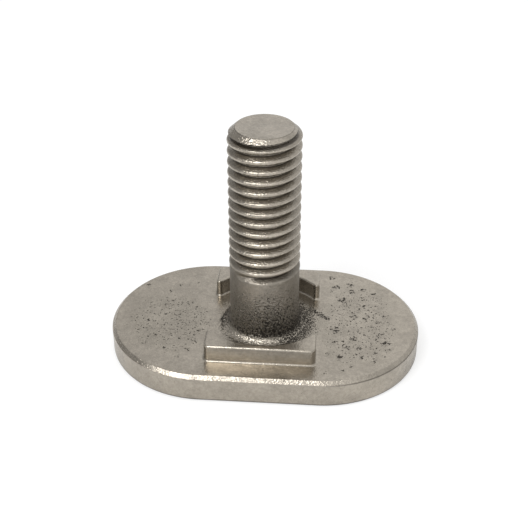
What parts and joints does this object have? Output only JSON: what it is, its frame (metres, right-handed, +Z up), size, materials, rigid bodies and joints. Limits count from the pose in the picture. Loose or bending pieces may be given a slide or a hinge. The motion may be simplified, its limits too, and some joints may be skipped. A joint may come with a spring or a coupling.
{
  "type": "clamp screw",
  "caption": "Screw with an oblong plate head, two locating lugs beside the stud and an M8 thread, made in one piece.",
  "frame": {"origin": "on the stud's axis, at the underside of the plate", "axes": "+Z up the stud from the plate, +X along the plate's long side, -Y towards the straight side that lies nearer the stud"},
  "size_m": [0.036, 0.023, 0.0283],
  "materials": {
    "screw_steel": "satin warm grey steel with dark pits and specks, sootier round the foot of the stud"
  },
  "bodies": {
    "root": {"screw": "screw_steel"}
  },
  "joints": []
}
